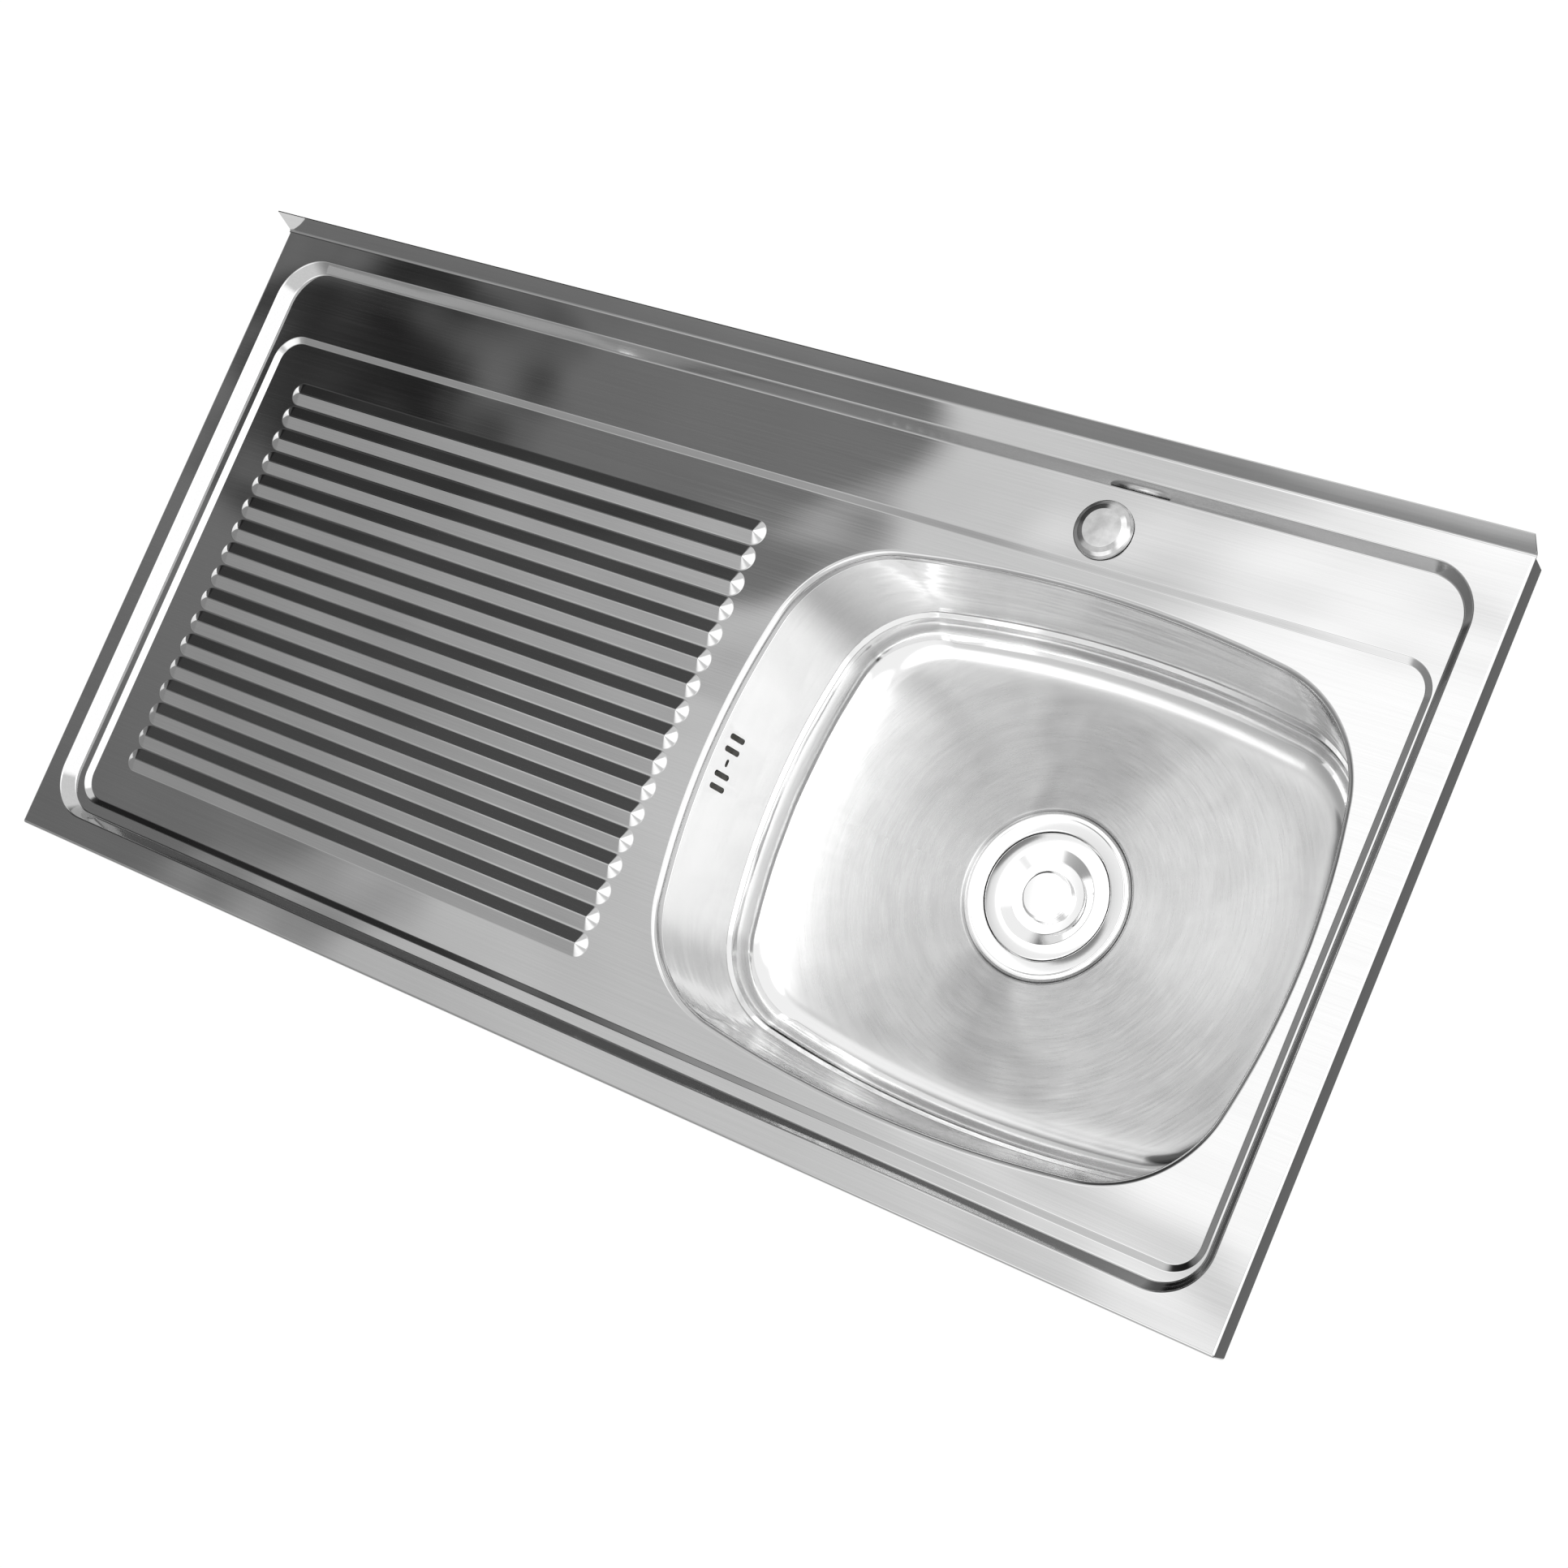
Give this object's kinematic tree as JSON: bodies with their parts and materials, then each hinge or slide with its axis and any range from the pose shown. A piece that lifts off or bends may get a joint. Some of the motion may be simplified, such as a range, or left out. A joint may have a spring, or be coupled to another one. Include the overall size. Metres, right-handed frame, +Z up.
{
  "type": "kitchen sink",
  "caption": "Lay-on stainless steel kitchen sink with a ribbed drainer, a deep-drawn bowl, an overflow, a basket waste with a lid and a covered tap hole.",
  "frame": {"origin": "middle of the front border's underside, where the cabinet's edge carries the deck", "axes": "+X to the right along the deck's width, +Y to the back, +Z up"},
  "size_m": [1, 0.5061, 0.248],
  "materials": {
    "deck_steel": "fine lengthwise brushing",
    "bowl_steel": "satin polish",
    "waste_steel": "bright polish",
    "fixing_steel": "plain zinc plate",
    "black_rubber": "matt",
    "white_plastic": "moulded",
    "grey_plastic": "moulded",
    "brass": "machined"
  },
  "bodies": {
    "sink": {"deck": "deck_steel", "bowl": "bowl_steel", "tap_cover": "waste_steel", "cover_seal": "black_rubber", "cover_stud": "fixing_steel", "cover_clamp": "fixing_steel", "cover_wing_nut": "fixing_steel", "flange_gasket": "black_rubber", "strainer_cup": "waste_steel", "lower_gasket": "black_rubber", "waste_body": "white_plastic", "waste_screw": "fixing_steel", "screw_insert": "brass", "overflow_gasket": "black_rubber", "overflow_box": "white_plastic", "overflow_hose": "grey_plastic", "box_nut": "white_plastic", "waste_nut": "white_plastic", "hose_washers": "black_rubber"},
    "basket_body": {"basket": "waste_steel", "basket_post": "waste_steel", "basket_seal": "black_rubber"},
    "lid_body": {"lid": "waste_steel", "lid_knob": "waste_steel", "lid_screw": "fixing_steel"}
  },
  "joints": [
    {"name": "basket_lift", "type": "slide", "parent": "sink", "child": "basket_body", "axis": [0, 0, 1], "range_m": [0, 0.16]},
    {"name": "lid_lift", "type": "slide", "parent": "basket_body", "child": "lid_body", "axis": [0, 0, 1], "range_m": [0, 0.16]}
  ]
}
